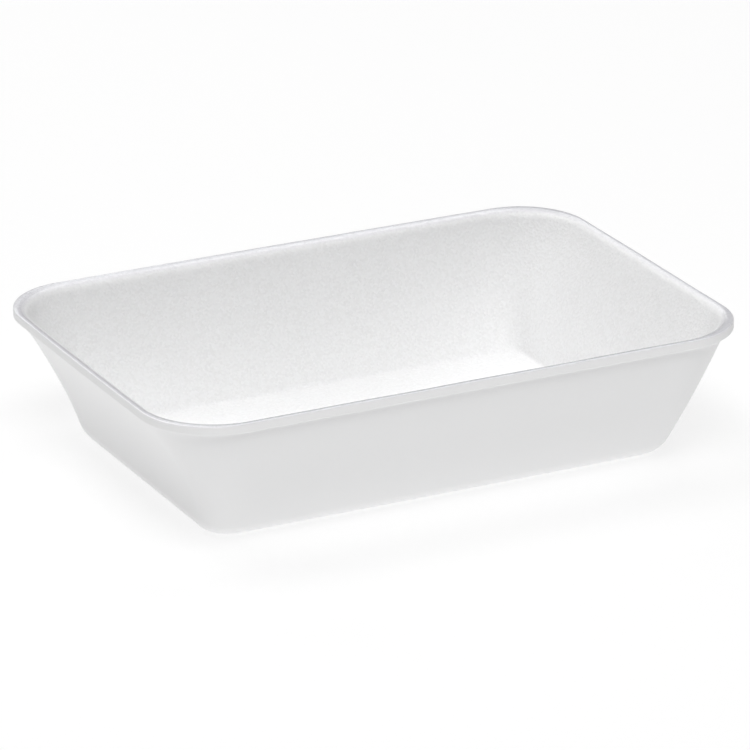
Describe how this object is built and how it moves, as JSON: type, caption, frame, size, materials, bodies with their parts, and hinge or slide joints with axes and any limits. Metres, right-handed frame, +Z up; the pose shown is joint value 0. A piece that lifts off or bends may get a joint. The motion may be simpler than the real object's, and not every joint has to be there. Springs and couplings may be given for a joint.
{
  "type": "foam tray",
  "caption": "Deep rectangular tray of white foam with flared walls, round corners and a narrow turned-out lip, empty, for food.",
  "frame": {"origin": "middle of the foot, on the surface that the tray stands on", "axes": "+X along the long side, +Y along the short side, +Z up out of the open top"},
  "size_m": [0.21, 0.1436, 0.0475],
  "materials": {
    "foam": "white closed-cell foam with a smooth, faintly satin skin and a plain cut edge at the lip"
  },
  "bodies": {
    "root": {"tray": "foam"}
  },
  "joints": []
}
